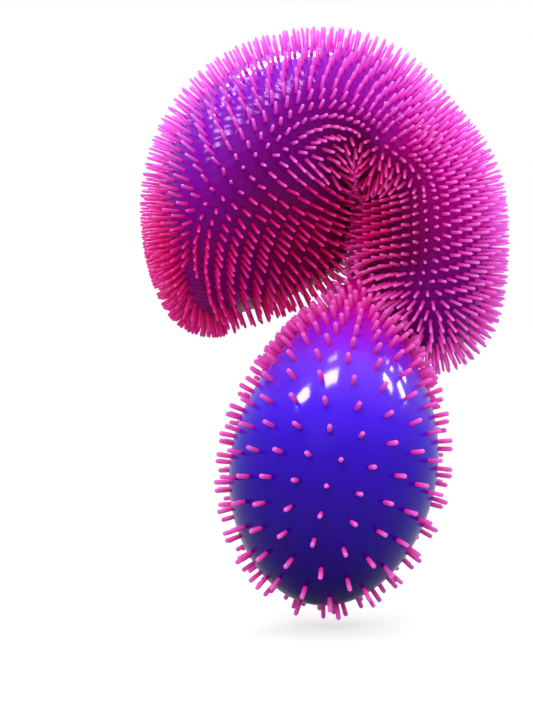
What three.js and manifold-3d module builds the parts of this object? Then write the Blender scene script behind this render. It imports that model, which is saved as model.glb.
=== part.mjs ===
// A spiky squeeze ball, caught in the middle of a squeeze. A soft rubber skin holds a gel
// filling. The grip folds the ball over itself into a crown and a cheek, and drives part of the
// filling through a neck into a round bubble of stretched skin.
// Millimetres, +Z up, +X right, +Y to the back. The origin is the middle of the grip.

import * as THREE from 'three';
import { mergeGeometries, mergeVertices } from 'three/addons/utils/BufferGeometryUtils.js';
import Module from 'manifold-3d';

const wasm = await Module();
wasm.setup();

// Front outline of crown and cheek. Sections fan out round the fold line, which runs along Y.
// A section's bearing is its angle round that line: 0 is +X, 90 is up, 180 is -X.
const FOLD_X = -8.2;
const FOLD_Z = 31.7;
const FOLD_RADIUS = 1;
const OUTLINE_CENTRE_X = -16.9;
const OUTLINE_CENTRE_Z = 27.5;
const OUTLINE_RADIUS = 39.0;
const CHEEK_BULGE = 8;
const CHEEK_BULGE_BEARING = -62;
const CHEEK_BULGE_SPREAD = 32;
const SHOULDER_FLAT = 2.8;
const SHOULDER_FLAT_BEARING = 45;
const SHOULDER_FLAT_SPREAD = 30;
const LEG_FLAT = 1.6;
const LEG_FLAT_BEARING = 192;
const LEG_FLAT_SPREAD = 24;

// Inner walls below the fold: the cheek's runs straight down, and the leg's bends away from it
const CHEEK_WALL_LENGTH = 18;
const LEG_WALL_LENGTH = 21.6;
const LEG_WALL_BEND = 9.2;
const LEG_WALL_BEARING = 165;
const LEG_WALL_EASE = 1.5;
const LEG_WALL_CURVE = 3;

// Ends of the fan, the bearings over which each end rounds off, and how square its rounding is
const LEG_END = 220;
const LEG_CAP = 11;
const LEG_SQUARENESS = 3.5;
const CHEEK_END = -70;
const CHEEK_CAP = 26;
const CHEEK_SQUARENESS = 2;
// Where the rounded end of the cheek closes, as a share of its section from fold to rim
const CHEEK_FOCUS = 0.6;
const CUT_BEARING = 72;
const LEG_CAP_START = LEG_END - LEG_CAP;
const CHEEK_CAP_START = CHEEK_END + CHEEK_CAP;

// Half depth of the sections, front to back, at three bearings. The leg's front and back roll under,
// from the crown's full depth to nothing at its end.
const CROWN_DEPTH = 29;
const CROWN_DEPTH_BEARING = 175;
const SHOULDER_DEPTH = 24;
const SHOULDER_DEPTH_BEARING = 80;
const CHEEK_DEPTH = 18.5;
const LEG_ROLL = 42;
const LEG_ROLL_SQUARENESS = 2;
const LEG_ROLL_START = LEG_END - LEG_ROLL;

// How far a section's deepest place is turned out towards its rim, in degrees of its own angle
const LEG_TURN = 46;
const LEG_TURN_START = 146;
const SHOULDER_TURN = -14;
const SHOULDER_TURN_BEARING = 64;
const SHOULDER_TURN_SPREAD = 45;

// Neck and bubble: round sections along a curved spine from inside the cheek to the tip
const NECK_START = new THREE.Vector3(-0.6, 2, 14);
const NECK_HEADING = new THREE.Vector3(-0.7, -0.6, -0.45).normalize();
const NECK_PULL = 17;
const BUBBLE_TIP = new THREE.Vector3(-22.5, -24, -60.2);
const TIP_HEADING = new THREE.Vector3(-0.36, -0.25, -0.9).normalize();
const TIP_PULL = 34;
const NECK_RADIUS = 6.5;
const NECK_FLARE = 1.9;
const FLARE_LENGTH = 37;
const BUBBLE_RADIUS = 23.4;
const BUBBLE_NOSE = 32;
const NEAR_NECK_END = 14;
const FAR_NECK_END = 19;

// Walls and clearances
const SKIN_WALL = 1.8;
const BUBBLE_WALL = 1;
const FIT = 0.35;
const HALF_FIT = FIT / 2;
const HOLLOW_OVERRUN = 6;

// Spikes
const SPIKE_LENGTH = 4.7;
const SPIKE_ROOT_RADIUS = 0.8;
const SPIKE_TIP_RADIUS = 0.55;
const SPIKE_SIDES = 3;
const SPIKE_SINK_SHARE = 0.55;
const CROWN_SPIKE_PITCH = 8;
const BUBBLE_SPIKE_PITCH = 8.6;
const SPIKE_ROWS = 20;
const SPIKE_CLEARANCE = 1.5;
// Degrees left bare: round the fold, beside the cut and at the rounded ends
const FOLD_BARE = 55;
const CUT_BARE = 7;
const LEG_BARE = 3;
const CHEEK_BARE = 10;

// Fill plug, through the skin at the deepest place of the crown's back
const PLUG_SHANK_RADIUS = 3;
const PLUG_SHANK_LENGTH = 4.5;
const PLUG_HEAD_RADIUS = 5;
const PLUG_HEAD_HEIGHT = 1.2;
const GLUE_THICKNESS = 0.8;
const GLUE_RADIUS = 5.8;

// Faces round and along the lofts
const SECTION_SIDES = 18;
const RING_STEP = 7;
const CAP_STEPS = 4;
const TUBE_SIDES = 22;
const TUBE_STEP = 6;
const NOSE_STEPS = 6;
const PLUG_SIDES = 24;

// Fineness with which points are merged, and rows, normals and clearances are found
const MERGE_TOLERANCE = 1e-4;
const ROW_STEP = 1;
const NORMAL_STEP = 0.5;
const CLEARANCE_STEPS = 24;

const SKIN_COLOUR = 0xc010a8;
const STRETCHED_SKIN_COLOUR = 0x4020d0;
const FILLING_COLOUR = 0x2838c8;
const PLUG_COLOUR = 0xd838b8;
const GLUE_COLOUR = 0xe8d8e8;

const radians = THREE.MathUtils.degToRad;
const FOLD_LINE = new THREE.Vector2(FOLD_X, FOLD_Z);
const OUTLINE_OFFSET = new THREE.Vector2(OUTLINE_CENTRE_X - FOLD_X, OUTLINE_CENTRE_Z - FOLD_Z);

// Solids

function solidFrom(geometry) {
  const bare = geometry.clone();
  bare.deleteAttribute('normal');
  bare.deleteAttribute('uv');
  const merged = mergeVertices(bare, MERGE_TOLERANCE);
  const vertProperties = new Float32Array(merged.attributes.position.array);
  const triVerts = new Uint32Array(merged.index.array);
  return new wasm.Manifold(new wasm.Mesh({ numProp: 3, vertProperties, triVerts }));
}

function geometryFrom(solid) {
  const { vertProperties, triVerts } = solid.getMesh();
  const geometry = new THREE.BufferGeometry();
  geometry.setAttribute('position', new THREE.BufferAttribute(vertProperties, 3));
  geometry.setIndex(new THREE.BufferAttribute(triVerts, 1));
  geometry.computeVertexNormals();
  return geometry;
}

// A closed loft through rings of equal count, each end drawn to a middle point
function loft(rings, startPoint, endPoint) {
  const sides = rings[0].length;
  const points = [...rings.flat(), startPoint, endPoint];
  const start = points.length - 2;
  const end = points.length - 1;
  const last = (rings.length - 1) * sides;
  const faces = [];
  for (let i = 0; i < sides; i++) {
    const next = (i + 1) % sides;
    faces.push(start, next, i);
    faces.push(end, last + i, last + next);
    for (let ring = 0; ring < last; ring += sides) {
      faces.push(ring + i, ring + next, ring + sides + next);
      faces.push(ring + i, ring + sides + next, ring + sides + i);
    }
  }
  const geometry = new THREE.BufferGeometry().setFromPoints(points);
  geometry.setIndex(faces);
  return geometry;
}

function evenSteps(from, to, step) {
  const count = Math.max(2, Math.ceil(Math.abs(to - from) / step));
  return Array.from({ length: count + 1 }, (_, i) => from + ((to - from) * i) / count);
}

// Among rising values, the index of the one that ends the step in which a value lies
function stepOf(values, value) {
  const passed = values.filter((one) => one < value).length;
  return THREE.MathUtils.clamp(passed, 1, values.length - 1);
}

// Crown and cheek

function shareBetween(value, from, to) {
  return THREE.MathUtils.clamp((value - from) / (to - from), 0, 1);
}

function swell(bearing, middle, spread) {
  return Math.exp(-(((bearing - middle) / spread) ** 2));
}

// How far the skin lies from the fold line at a bearing
function reach(bearing) {
  const direction = new THREE.Vector2(Math.cos(radians(bearing)), Math.sin(radians(bearing)));
  const along = OUTLINE_OFFSET.dot(direction);
  const circle = along + Math.sqrt(OUTLINE_RADIUS ** 2 - OUTLINE_OFFSET.lengthSq() + along ** 2);
  const bulge = CHEEK_BULGE * swell(bearing, CHEEK_BULGE_BEARING, CHEEK_BULGE_SPREAD);
  const shoulder = SHOULDER_FLAT * swell(bearing, SHOULDER_FLAT_BEARING, SHOULDER_FLAT_SPREAD);
  const leg = LEG_FLAT * swell(bearing, LEG_FLAT_BEARING, LEG_FLAT_SPREAD);
  return circle + bulge - shoulder - leg;
}

// How much is left of a size at a share of the way through a rounded end
function roundOff(share, squareness) {
  return (1 - share ** squareness) ** (1 / squareness);
}

function halfDepth(bearing) {
  const ease = (from, to, a, b) => a + (b - a) * THREE.MathUtils.smoothstep(bearing, from, to);
  if (bearing > SHOULDER_DEPTH_BEARING) {
    return ease(SHOULDER_DEPTH_BEARING, CROWN_DEPTH_BEARING, SHOULDER_DEPTH, CROWN_DEPTH);
  }
  return ease(CHEEK_END, SHOULDER_DEPTH_BEARING, CHEEK_DEPTH, SHOULDER_DEPTH);
}

// The inner end of a section lies on the fold line, and slides down the inner wall of cheek or leg
function section(bearing) {
  const direction = new THREE.Vector2(Math.cos(radians(bearing)), Math.sin(radians(bearing)));
  const cheekSlide = THREE.MathUtils.smoothstep(-bearing, 0, -CHEEK_END);
  const legSlide = shareBetween(bearing, LEG_WALL_BEARING, LEG_END) ** LEG_WALL_EASE;
  const inner = FOLD_LINE.clone().addScaledVector(direction, FOLD_RADIUS);
  inner.x -= LEG_WALL_BEND * legSlide ** LEG_WALL_CURVE;
  inner.y -= CHEEK_WALL_LENGTH * cheekSlide + LEG_WALL_LENGTH * legSlide;
  const outer = FOLD_LINE.clone().addScaledVector(direction, reach(bearing));
  const middle = inner.clone().add(outer).multiplyScalar(0.5);
  const along = outer.clone().sub(inner);
  const halfLength = along.length() / 2;
  along.normalize();
  return { middle, along, halfLength, depth: halfDepth(bearing) };
}

// The bearings at which the skin, or an inner surface at an inset below it, ends
function fanEnds(inset) {
  const legStep = section(LEG_END).middle.distanceTo(section(LEG_CAP_START).middle) / LEG_CAP;
  const legInset = inset / legStep;
  const cheekInset = THREE.MathUtils.radToDeg(inset / section(CHEEK_CAP_START).halfLength);
  return { leg: LEG_END - legInset, cheek: CHEEK_END + cheekInset };
}

// Length and depth left of a section within a rounded end, as shares
function capShrink(bearing, inset) {
  const ends = fanEnds(inset);
  const leg = roundOff(shareBetween(bearing, LEG_CAP_START, ends.leg), LEG_SQUARENESS);
  const cheek = roundOff(shareBetween(bearing, CHEEK_CAP_START, ends.cheek), CHEEK_SQUARENESS);
  const roll = roundOff(shareBetween(bearing, LEG_ROLL_START, ends.leg), LEG_ROLL_SQUARENESS);
  return { length: leg * cheek, depth: roll * cheek };
}

// How far the deepest place is turned out at a bearing
function sectionTurn(bearing) {
  const leg = LEG_TURN * THREE.MathUtils.smoothstep(bearing, LEG_TURN_START, LEG_END);
  return leg + SHOULDER_TURN * swell(bearing, SHOULDER_TURN_BEARING, SHOULDER_TURN_SPREAD);
}

// The point to which a section shrinks as an end rounds off, from its middle outwards
function focusOffset(bearing, halfLength) {
  return bearing < CHEEK_CAP_START ? (2 * CHEEK_FOCUS - 1) * halfLength : 0;
}

// A point of the skin: angle 0 is the outer rim, 180 the fold, 90 the back
function fanPoint(bearing, angle, inset = 0) {
  const { middle, along, halfLength, depth } = section(bearing);
  const shrink = capShrink(bearing, inset);
  const focus = focusOffset(bearing, halfLength);
  const side = Math.sin(radians(angle));
  const turned = Math.cos(radians(angle - sectionTurn(bearing) * side));
  const outward = focus + shrink.length * ((halfLength - inset) * turned - focus);
  const back = shrink.depth * (depth - inset) * side;
  return new THREE.Vector3(middle.x + along.x * outward, back, middle.y + along.y * outward);
}

function fanMiddle(bearing) {
  const { middle, along, halfLength } = section(bearing);
  const focus = focusOffset(bearing, halfLength);
  return new THREE.Vector3(middle.x + along.x * focus, 0, middle.y + along.y * focus);
}

function fanRing(bearing, inset) {
  const ring = [];
  for (let i = 0; i < SECTION_SIDES; i++) {
    ring.push(fanPoint(bearing, (360 * i) / SECTION_SIDES, inset));
  }
  return ring;
}

// Steps through a rounded end, closer together towards its tip
function roundSteps(from, to, count, squareness = 2) {
  const steps = [];
  for (let i = 1; i < count; i++) {
    const share = Math.sin((Math.PI / 2) * (i / count)) ** (2 / squareness);
    steps.push(from + (to - from) * share);
  }
  return steps;
}

// The row of a fan surface at one angle, measured along the skin
function fanRow(angle, from, to) {
  const bearings = evenSteps(from, to, ROW_STEP);
  const points = bearings.map((bearing) => fanPoint(bearing, angle));
  const distances = [0];
  for (let i = 1; i < points.length; i++) {
    distances.push(distances[i - 1] + points[i].distanceTo(points[i - 1]));
  }
  const at = (distance) => {
    const i = stepOf(distances, distance);
    const share = (distance - distances[i - 1]) / (distances[i] - distances[i - 1]);
    return bearings[i - 1] + (bearings[i] - bearings[i - 1]) * share;
  };
  return { length: distances.at(-1), at };
}

// Bearings at even distances along the outer rim
function rimBearings(from, to) {
  const rim = fanRow(0, from, to);
  return evenSteps(0, rim.length, RING_STEP).map(rim.at);
}

// Bearings of the rings of the crown, from the cut to the leg's end
function crownBearings(inset) {
  const end = fanEnds(inset).leg;
  const even = rimBearings(CUT_BEARING, LEG_CAP_START);
  return [...even, ...roundSteps(LEG_CAP_START, end, CAP_STEPS, LEG_SQUARENESS)];
}

// Bearings of the rings of the cheek, from its rounded end to the cut
function cheekBearings(inset) {
  const end = fanEnds(inset).cheek;
  const even = rimBearings(CHEEK_CAP_START, CUT_BEARING);
  return [...roundSteps(CHEEK_CAP_START, end, CAP_STEPS, CHEEK_SQUARENESS).reverse(), ...even];
}

// Square to the cut between crown and cheek, towards the crown
const acrossCut = new THREE.Vector3(-Math.sin(radians(CUT_BEARING)), 0, Math.cos(radians(CUT_BEARING)));

// The crown, or what lies at an inset below its skin, from a flat face beside the cut
function crownSolid(inset) {
  const rings = crownBearings(inset).map((bearing) => fanRing(bearing, inset));
  const face = fanMiddle(CUT_BEARING).addScaledVector(acrossCut, HALF_FIT);
  rings[0].forEach((point) => point.addScaledVector(acrossCut, HALF_FIT));
  return solidFrom(loft(rings, face, fanMiddle(fanEnds(inset).leg)));
}

function cheekSolid(inset) {
  const rings = cheekBearings(inset).map((bearing) => fanRing(bearing, inset));
  const face = fanMiddle(CUT_BEARING).addScaledVector(acrossCut, -HALF_FIT);
  rings.at(-1).forEach((point) => point.addScaledVector(acrossCut, -HALF_FIT));
  return solidFrom(loft(rings, fanMiddle(fanEnds(inset).cheek), face));
}

// The hollows of their skins, which run on past the cut
function crownHollow() {
  const past = CUT_BEARING - HOLLOW_OVERRUN;
  const rings = [past, ...crownBearings(SKIN_WALL)].map((bearing) => fanRing(bearing, SKIN_WALL));
  return solidFrom(loft(rings, fanMiddle(past), fanMiddle(fanEnds(SKIN_WALL).leg)));
}

function cheekHollow() {
  const past = CUT_BEARING + HOLLOW_OVERRUN;
  const rings = [...cheekBearings(SKIN_WALL), past].map((bearing) => fanRing(bearing, SKIN_WALL));
  return solidFrom(loft(rings, fanMiddle(fanEnds(SKIN_WALL).cheek), fanMiddle(past)));
}

// Neck and bubble

const spine = new THREE.CubicBezierCurve3(
  NECK_START,
  NECK_START.clone().addScaledVector(NECK_HEADING, NECK_PULL),
  BUBBLE_TIP.clone().addScaledVector(TIP_HEADING, -TIP_PULL),
  BUBBLE_TIP,
);
const SPINE_LENGTH = spine.getLength();
const WIDEST = SPINE_LENGTH - BUBBLE_NOSE;

function tubeRadius(distance, inset = 0) {
  if (distance > WIDEST) {
    const share = Math.min((distance - WIDEST) / (BUBBLE_NOSE - inset), 1);
    return (BUBBLE_RADIUS - inset) * Math.sqrt(1 - share ** 2);
  }
  const short = Math.min((WIDEST - distance) / FLARE_LENGTH, 1);
  return BUBBLE_RADIUS - (BUBBLE_RADIUS - NECK_RADIUS) * short ** NECK_FLARE - inset;
}

// A point of the spine, which runs on straight past its ends
function spinePoint(distance) {
  const share = THREE.MathUtils.clamp(distance / SPINE_LENGTH, 0, 1);
  const past = distance - share * SPINE_LENGTH;
  return spine.getPointAt(share).addScaledVector(spine.getTangentAt(share), past);
}

// A point of the tube: distance along the spine, angle round it
function tubePoint(distance, angle, inset = 0) {
  const heading = spine.getTangentAt(THREE.MathUtils.clamp(distance / SPINE_LENGTH, 0, 1));
  const right = new THREE.Vector3(0, 1, 0).cross(heading).normalize();
  const up = heading.clone().cross(right);
  const radius = tubeRadius(distance, inset);
  return spinePoint(distance)
    .addScaledVector(right, radius * Math.cos(radians(angle)))
    .addScaledVector(up, radius * Math.sin(radians(angle)));
}

function tubeRing(distance, inset) {
  const ring = [];
  for (let i = 0; i < TUBE_SIDES; i++) {
    ring.push(tubePoint(distance, (360 * i) / TUBE_SIDES, inset));
  }
  return ring;
}

// A stretch of the tube with flat ends, at an inset below its skin
function tubeStretch(from, to, inset) {
  const rings = evenSteps(from, to, TUBE_STEP).map((distance) => tubeRing(distance, inset));
  return solidFrom(loft(rings, spinePoint(from), spinePoint(to)));
}

// The tube from a flat end to its round tip, at an inset below its skin
function tubeNose(from, inset) {
  const tip = SPINE_LENGTH - inset;
  const distances = [...evenSteps(from, WIDEST, TUBE_STEP), ...roundSteps(WIDEST, tip, NOSE_STEPS)];
  const rings = distances.map((distance) => tubeRing(distance, inset));
  return solidFrom(loft(rings, spinePoint(from), spinePoint(tip)));
}

// Spikes

function surfaceNormal(surface, u, v) {
  const alongU = surface(u + NORMAL_STEP, v).sub(surface(u - NORMAL_STEP, v));
  const alongV = surface(u, v + NORMAL_STEP).sub(surface(u, v - NORMAL_STEP));
  return alongU.cross(alongV).normalize();
}

// A spike rooted in the wall of the skin
function spike(root, normal, wall) {
  const sink = SPIKE_SINK_SHARE * wall;
  const height = SPIKE_LENGTH + sink;
  const geometry = new THREE.CylinderGeometry(SPIKE_TIP_RADIUS, SPIKE_ROOT_RADIUS, height, SPIKE_SIDES);
  geometry.translate(0, height / 2 - sink, 0);
  geometry.applyQuaternion(new THREE.Quaternion().setFromUnitVectors(new THREE.Vector3(0, 1, 0), normal));
  geometry.translate(root.x, root.y, root.z);
  return geometry;
}

// Places at even distances along a row of the surface, every other row half a pitch on
function rowPlaces(curve, pitch, shifted) {
  const length = curve.length;
  const places = [];
  for (let at = shifted ? pitch : pitch / 2; at < length - pitch / 2; at += pitch) {
    places.push(curve.at(at));
  }
  return places;
}

// A point on the flat faces between two rings of the loft, where a spike has its root
function loftPoint(rings, bearing, angle) {
  const next = stepOf(rings, bearing);
  const share = shareBetween(bearing, rings[next - 1], rings[next]);
  return fanPoint(rings[next - 1], angle).lerp(fanPoint(rings[next], angle), share);
}

function clearOfTube(root) {
  for (let i = 0; i <= CLEARANCE_STEPS; i++) {
    const distance = (SPINE_LENGTH * i) / CLEARANCE_STEPS;
    const room = tubeRadius(distance) + 2 * SPIKE_LENGTH + SPIKE_CLEARANCE;
    if (spinePoint(distance).distanceTo(root) < room) {
      return false;
    }
  }
  return true;
}

function clearOfPlug(root) {
  return root.y < 0 || plugPlace.distanceTo(root) > GLUE_RADIUS + SPIKE_ROOT_RADIUS + SPIKE_CLEARANCE;
}

function fanSpikes(rings, from, to) {
  const spikes = [];
  for (let row = 0; row < SPIKE_ROWS; row++) {
    const angle = (360 * (row + 0.5)) / SPIKE_ROWS;
    if (Math.abs(angle - 180) < FOLD_BARE) {
      continue;
    }
    for (const bearing of rowPlaces(fanRow(angle, from, to), CROWN_SPIKE_PITCH, row % 2 === 1)) {
      const root = loftPoint(rings, bearing, angle);
      if (clearOfTube(root) && clearOfPlug(root)) {
        spikes.push(spike(root, surfaceNormal(fanPoint, bearing, angle).negate(), SKIN_WALL));
      }
    }
  }
  return spikes;
}

const cheekSkinPoints = cheekBearings(0).flatMap((bearing) => fanRing(bearing, 0));

function clearOfCheek(root) {
  const room = 2 * SPIKE_LENGTH + SPIKE_CLEARANCE;
  return cheekSkinPoints.every((point) => point.distanceTo(root) > room);
}

function bubbleSpikes() {
  const spikes = [];
  const from = FAR_NECK_END + BUBBLE_SPIKE_PITCH / 2;
  const nose = roundSteps(WIDEST, SPINE_LENGTH, NOSE_STEPS).slice(1);
  const rings = [...evenSteps(from, WIDEST, BUBBLE_SPIKE_PITCH), ...nose];
  rings.forEach((distance, ring) => {
    const count = Math.max(1, Math.round((2 * Math.PI * tubeRadius(distance)) / BUBBLE_SPIKE_PITCH));
    for (let i = 0; i < count; i++) {
      const angle = (360 * (i + (ring % 2) / 2)) / count;
      const root = tubePoint(distance, angle);
      if (clearOfCheek(root)) {
        spikes.push(spike(root, surfaceNormal(tubePoint, distance, angle).negate(), BUBBLE_WALL));
      }
    }
  });
  return spikes;
}

function withSpikes(skin, spikes) {
  return skin.add(solidFrom(mergeGeometries(spikes)));
}

// Fill plug

const plugPlace = fanPoint(CROWN_DEPTH_BEARING, 90);

function plugDisc(radius, from, to) {
  const disc = new THREE.CylinderGeometry(radius, radius, to - from, PLUG_SIDES);
  disc.translate(plugPlace.x, plugPlace.y + (from + to) / 2, plugPlace.z);
  return solidFrom(disc);
}

const GLUE_BASE = FIT;
const HEAD_BASE = GLUE_BASE + GLUE_THICKNESS + FIT;
const plugShaft = plugDisc(PLUG_SHANK_RADIUS, -PLUG_SHANK_LENGTH, HEAD_BASE + PLUG_HEAD_HEIGHT / 2);
const plugHead = plugDisc(PLUG_HEAD_RADIUS, HEAD_BASE, HEAD_BASE + PLUG_HEAD_HEIGHT);
const plugBore = plugDisc(PLUG_SHANK_RADIUS + FIT, -PLUG_SHANK_LENGTH - FIT, HEAD_BASE);
const glueDisc = plugDisc(GLUE_RADIUS, GLUE_BASE, GLUE_BASE + GLUE_THICKNESS);

// Assembly

const tubeBore = tubeNose(0, -FIT);

const crownSkin = crownSolid(0).subtract(crownHollow()).subtract(plugBore);
const crownFilling = crownSolid(SKIN_WALL + FIT).subtract(plugBore);

const cheekSkin = cheekSolid(0).subtract(cheekHollow()).subtract(tubeBore);
const cheekFilling = cheekSolid(SKIN_WALL + FIT).subtract(tubeBore);

// The stretches of neck and bubble, a clearance apart
const nearNeck = [FIT, NEAR_NECK_END - HALF_FIT];
const farNeck = [NEAR_NECK_END + HALF_FIT, FAR_NECK_END - HALF_FIT];
const bubbleStart = FAR_NECK_END + HALF_FIT;

function neckSkin([from, to]) {
  return tubeStretch(from, to, 0).subtract(tubeStretch(from - FIT, to + FIT, SKIN_WALL));
}

const bubbleSkin = tubeNose(bubbleStart, 0).subtract(tubeNose(bubbleStart - FIT, BUBBLE_WALL));

const crownSpikes = fanSpikes(crownBearings(0), CUT_BEARING + CUT_BARE, LEG_END - LEG_BARE);
const cheekSpikes = fanSpikes(cheekBearings(0), CHEEK_END + CHEEK_BARE, CUT_BEARING - CUT_BARE);

const pieces = {
  crown_skin: [withSpikes(crownSkin, crownSpikes), SKIN_COLOUR],
  crown_filling: [crownFilling, FILLING_COLOUR],
  fill_plug: [plugShaft.add(plugHead), PLUG_COLOUR],
  plug_glue_ring: [glueDisc.subtract(plugBore), GLUE_COLOUR],
  cheek_skin: [withSpikes(cheekSkin, cheekSpikes), SKIN_COLOUR],
  cheek_filling: [cheekFilling, FILLING_COLOUR],
  near_neck_skin: [neckSkin(nearNeck), SKIN_COLOUR],
  near_neck_filling: [tubeStretch(...nearNeck, SKIN_WALL + FIT), FILLING_COLOUR],
  far_neck_skin: [neckSkin(farNeck), SKIN_COLOUR],
  far_neck_filling: [tubeStretch(...farNeck, SKIN_WALL + FIT), FILLING_COLOUR],
  bubble_skin: [withSpikes(bubbleSkin, bubbleSpikes()), STRETCHED_SKIN_COLOUR],
  bubble_filling: [tubeNose(bubbleStart, BUBBLE_WALL + FIT), FILLING_COLOUR],
};

const group = new THREE.Group();
for (const [name, [solid, colour]] of Object.entries(pieces)) {
  const material = new THREE.MeshStandardMaterial({ color: colour, roughness: 0.35, metalness: 0 });
  const mesh = new THREE.Mesh(geometryFrom(solid), material);
  mesh.name = name;
  group.add(mesh);
}

export default group;
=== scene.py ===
# %% [markdown]
# A spiky squeeze ball in the middle of a squeeze. The real ball is one hollow moulding of soft
# rubber, covered in thin spikes and filled with gel. The squeeze folds it into a crown and a cheek,
# and drives part of the gel through a neck into a glossy bubble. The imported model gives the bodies
# and their joints, and this lesson dresses them. Shapes are written in millimetres and become metres
# when a mesh is made. Finishes, floor and lamps are written in metres.

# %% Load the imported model
import math

import bpy
import numpy as np
from mathutils import Matrix, Vector
from mathutils.bvhtree import BVHTree


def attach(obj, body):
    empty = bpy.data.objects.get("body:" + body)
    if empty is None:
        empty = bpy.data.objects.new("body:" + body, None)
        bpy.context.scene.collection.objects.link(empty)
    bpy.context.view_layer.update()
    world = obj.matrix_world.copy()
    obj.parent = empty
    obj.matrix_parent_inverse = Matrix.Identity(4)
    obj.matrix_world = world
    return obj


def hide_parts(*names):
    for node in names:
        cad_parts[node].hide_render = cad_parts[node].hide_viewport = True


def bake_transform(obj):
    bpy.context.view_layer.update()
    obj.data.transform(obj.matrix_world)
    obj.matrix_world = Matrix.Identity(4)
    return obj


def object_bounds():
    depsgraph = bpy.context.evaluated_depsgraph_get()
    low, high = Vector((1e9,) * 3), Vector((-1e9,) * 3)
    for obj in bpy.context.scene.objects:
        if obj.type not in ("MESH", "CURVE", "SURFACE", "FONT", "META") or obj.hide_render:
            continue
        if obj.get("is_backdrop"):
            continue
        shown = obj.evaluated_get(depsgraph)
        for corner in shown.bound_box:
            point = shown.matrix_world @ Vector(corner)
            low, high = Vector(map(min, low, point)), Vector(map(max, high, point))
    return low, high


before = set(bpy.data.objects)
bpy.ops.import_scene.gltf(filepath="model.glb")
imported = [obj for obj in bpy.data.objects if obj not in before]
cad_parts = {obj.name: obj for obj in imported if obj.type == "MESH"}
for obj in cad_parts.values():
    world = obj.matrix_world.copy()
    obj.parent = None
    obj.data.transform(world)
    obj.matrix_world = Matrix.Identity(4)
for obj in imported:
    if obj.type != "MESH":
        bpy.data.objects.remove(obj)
cad_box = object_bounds()
MM = 0.001

# %% [markdown]
# The camera looks level along +Y. At the plane of the frame's origin one pixel is a known length, and
# that length with the camera's distance gives the lens. A long lens keeps the perspective gentle.

# %% Camera
PHOTO_HEIGHT_PIXELS = 719
MM_PER_PIXEL = 0.235
CAMERA_DISTANCE = 420.0
CAMERA_X = -29.5
CAMERA_Z = -6.9
SENSOR = 36.0

camera_data = bpy.data.cameras.new("camera")
camera_data.sensor_fit = "VERTICAL"
camera_data.sensor_height = SENSOR
camera_data.lens = SENSOR * CAMERA_DISTANCE / (PHOTO_HEIGHT_PIXELS * MM_PER_PIXEL)
camera = bpy.data.objects.new("camera", camera_data)
camera.location = (CAMERA_X * MM, -CAMERA_DISTANCE * MM, CAMERA_Z * MM)
camera.rotation_euler = (math.radians(90), 0, 0)
scene = bpy.context.scene
scene.collection.objects.link(camera)
scene.camera = camera
scene.view_settings.view_transform = "Standard"
print(f"lens {camera_data.lens:.1f} mm")

# %% [markdown]
# Crown and cheek are one body of skin folded over a line. It could be sculpted, but its sections all
# fan out from the fold line, so a formula is exact and easy to change: at each bearing round the line
# a section has a reach, a depth, and an elliptical outline. Both ends of the fan round off.

# %% The folded body as a formula
FOLD_X, FOLD_Z = -8.2, 31.7
FOLD_RADIUS = 0.2
OUTLINE_CENTRE = (-16.9, 27.5)
OUTLINE_RADIUS = 39.0
CHEEK_BULGE, CHEEK_BULGE_BEARING, CHEEK_BULGE_SPREAD = 8.0, -62.0, 32.0
SHOULDER_FLAT, SHOULDER_FLAT_BEARING, SHOULDER_FLAT_SPREAD = 2.8, 45.0, 30.0
LEG_FLAT, LEG_FLAT_BEARING, LEG_FLAT_SPREAD = 1.6, 192.0, 24.0
CHEEK_WALL_LENGTH = 18.0
LEG_WALL_LENGTH, LEG_WALL_BEND, LEG_WALL_BEARING = 21.6, 9.2, 165.0
LEG_WALL_EASE, LEG_WALL_CURVE = 1.5, 3.0
LEG_END, LEG_CAP, LEG_SQUARENESS = 220.0, 11.0, 3.5
CHEEK_END, CHEEK_CAP, CHEEK_SQUARENESS = -70.0, 26.0, 2.0
CHEEK_FOCUS = 0.6
LEG_CAP_START = LEG_END - LEG_CAP
CHEEK_CAP_START = CHEEK_END + CHEEK_CAP
DEPTH_BEARINGS = (CHEEK_END, 80.0, 175.0)
HALF_DEPTHS = (18.5, 24.0, 29.0)
LEG_ROLL, LEG_ROLL_SQUARENESS = 42.0, 2.0
LEG_ROLL_START = LEG_END - LEG_ROLL
LEG_TURN, LEG_TURN_START = 46.0, 146.0
SHOULDER_TURN, SHOULDER_TURN_BEARING, SHOULDER_TURN_SPREAD = -14.0, 64.0, 45.0


def share_between(value, start, end):
    return np.clip((value - start) / (end - start), 0, 1)


def smooth_step(value, start, end):
    share = share_between(value, start, end)
    return share * share * (3 - 2 * share)


def swell(value, middle, spread):
    return np.exp(-(((value - middle) / spread) ** 2))


def reach(bearing):
    """How far the skin lies from the fold line at a bearing."""
    turn = np.radians(bearing)
    offset_x = OUTLINE_CENTRE[0] - FOLD_X
    offset_z = OUTLINE_CENTRE[1] - FOLD_Z
    along = offset_x * np.cos(turn) + offset_z * np.sin(turn)
    circle = along + np.sqrt(OUTLINE_RADIUS**2 - offset_x**2 - offset_z**2 + along**2)
    bulge = CHEEK_BULGE * swell(bearing, CHEEK_BULGE_BEARING, CHEEK_BULGE_SPREAD)
    shoulder = SHOULDER_FLAT * swell(bearing, SHOULDER_FLAT_BEARING, SHOULDER_FLAT_SPREAD)
    leg = LEG_FLAT * swell(bearing, LEG_FLAT_BEARING, LEG_FLAT_SPREAD)
    return circle + bulge - shoulder - leg


def half_depth(bearing):
    depth = np.full_like(bearing, HALF_DEPTHS[0])
    for i in range(len(HALF_DEPTHS) - 1):
        change = HALF_DEPTHS[i + 1] - HALF_DEPTHS[i]
        depth += change * smooth_step(bearing, DEPTH_BEARINGS[i], DEPTH_BEARINGS[i + 1])
    return depth


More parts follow.
